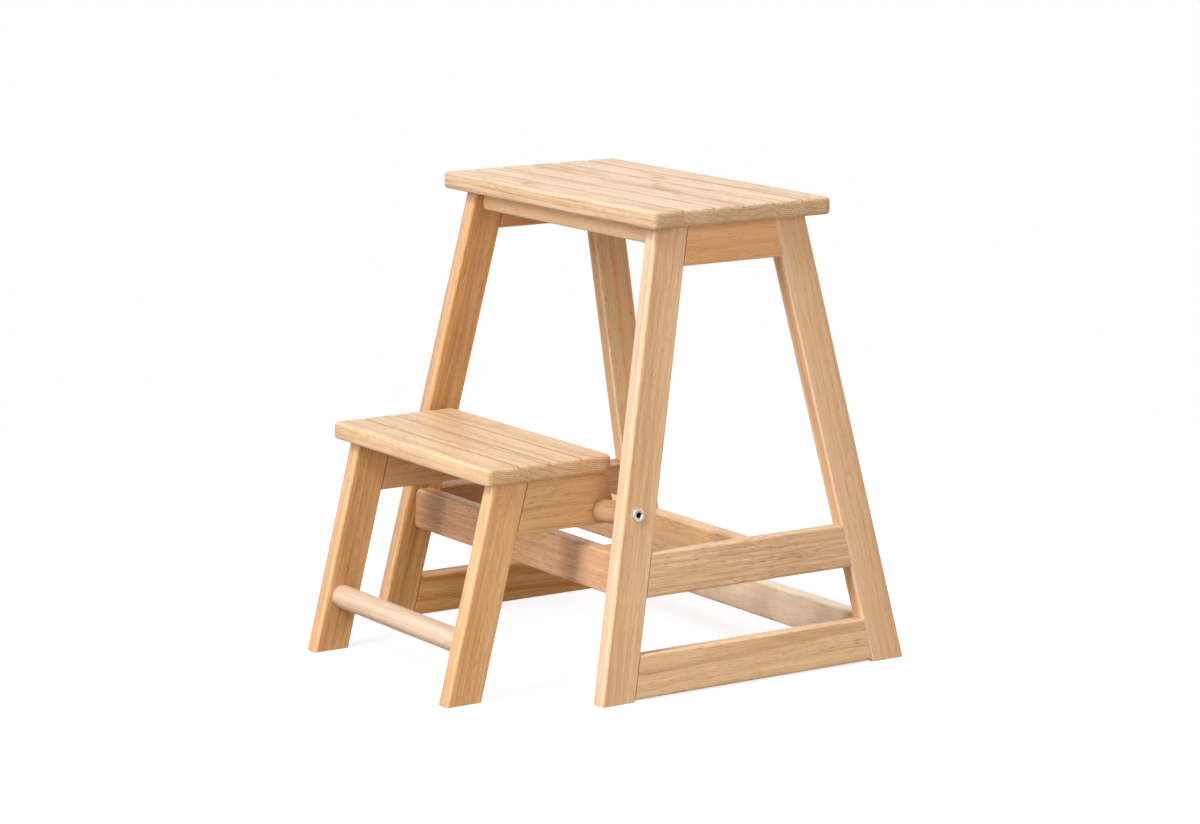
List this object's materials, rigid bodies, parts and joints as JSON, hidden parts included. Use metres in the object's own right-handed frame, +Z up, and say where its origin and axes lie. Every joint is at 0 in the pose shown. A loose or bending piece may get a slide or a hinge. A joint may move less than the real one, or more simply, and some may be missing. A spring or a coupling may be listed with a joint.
{
  "type": "folding step stool",
  "caption": "Wooden step stool with splayed legs and slatted-look seats; a low front step swings up and over on side bolts to store inside the taller frame.",
  "frame": {"origin": "on the floor, under the middle of the unfolded stool's box", "axes": "+X to the right of someone sitting down on it facing the step, which is left to right in the front view; +Y from the low step back to the tall frame; +Z up"},
  "size_m": [0.46, 0.5095, 0.49],
  "materials": {
    "leg_wood": "satin lacquer",
    "rail_wood": "satin lacquer",
    "seat_wood": "satin lacquer",
    "round_wood": "satin lacquer",
    "dowel_wood": "bare",
    "steel": "zinc plated"
  },
  "bodies": {
    "frame": {"front_leg_left": "leg_wood", "rear_leg_left": "leg_wood", "top_apron_left": "rail_wood", "mid_side_rail_left": "rail_wood", "low_side_rail_left": "rail_wood", "front_leg_right": "leg_wood", "rear_leg_right": "leg_wood", "top_apron_right": "rail_wood", "mid_side_rail_right": "rail_wood", "low_side_rail_right": "rail_wood", "top_rail_front": "rail_wood", "top_rail_rear": "rail_wood", "mid_front_rail": "rail_wood", "rest_rail": "rail_wood", "low_rear_rail": "rail_wood", "main_seat": "seat_wood", "pivot_bolt_left": "steel", "pivot_spacer_left": "round_wood", "pivot_washer_left": "steel", "pivot_cap_nut_left": "steel", "pivot_bolt_right": "steel", "pivot_spacer_right": "round_wood", "pivot_washer_right": "steel", "pivot_cap_nut_right": "steel", "dowel_top_apron_front_left": "dowel_wood", "dowel_top_apron_rear_left": "dowel_wood", "dowel_mid_side_rail_front_left": "dowel_wood", "dowel_mid_side_rail_rear_left": "dowel_wood", "dowel_low_side_rail_front_left": "dowel_wood", "dowel_low_side_rail_rear_left": "dowel_wood", "dowel_top_rail_front_left": "dowel_wood", "dowel_top_rail_rear_left": "dowel_wood", "dowel_mid_front_rail_left": "dowel_wood", "dowel_rest_rail_left": "dowel_wood", "dowel_low_rear_rail_left": "dowel_wood", "seat_screw_front_left": "steel", "seat_screw_rear_left": "steel", "dowel_top_apron_front_right": "dowel_wood", "dowel_top_apron_rear_right": "dowel_wood", "dowel_mid_side_rail_front_right": "dowel_wood", "dowel_mid_side_rail_rear_right": "dowel_wood", "dowel_low_side_rail_front_right": "dowel_wood", "dowel_low_side_rail_rear_right": "dowel_wood", "dowel_top_rail_front_right": "dowel_wood", "dowel_top_rail_rear_right": "dowel_wood", "dowel_mid_front_rail_right": "dowel_wood", "dowel_rest_rail_right": "dowel_wood", "dowel_low_rear_rail_right": "dowel_wood", "seat_screw_front_right": "steel", "seat_screw_rear_right": "steel"},
    "step": {"step_seat": "seat_wood", "step_leg_left": "leg_wood", "step_apron_left": "rail_wood", "step_leg_right": "leg_wood", "step_apron_right": "rail_wood", "step_rung": "round_wood", "dowel_step_apron_left": "dowel_wood", "dowel_step_seat_left": "dowel_wood", "dowel_step_apron_right": "dowel_wood", "dowel_step_seat_right": "dowel_wood"}
  },
  "joints": [
    {"name": "step_fold", "type": "hinge", "parent": "frame", "child": "step", "pos_m": [0, -0.06903, 0.1795], "axis": [-1, 0, 0], "range_deg": [0, 168]}
  ]
}
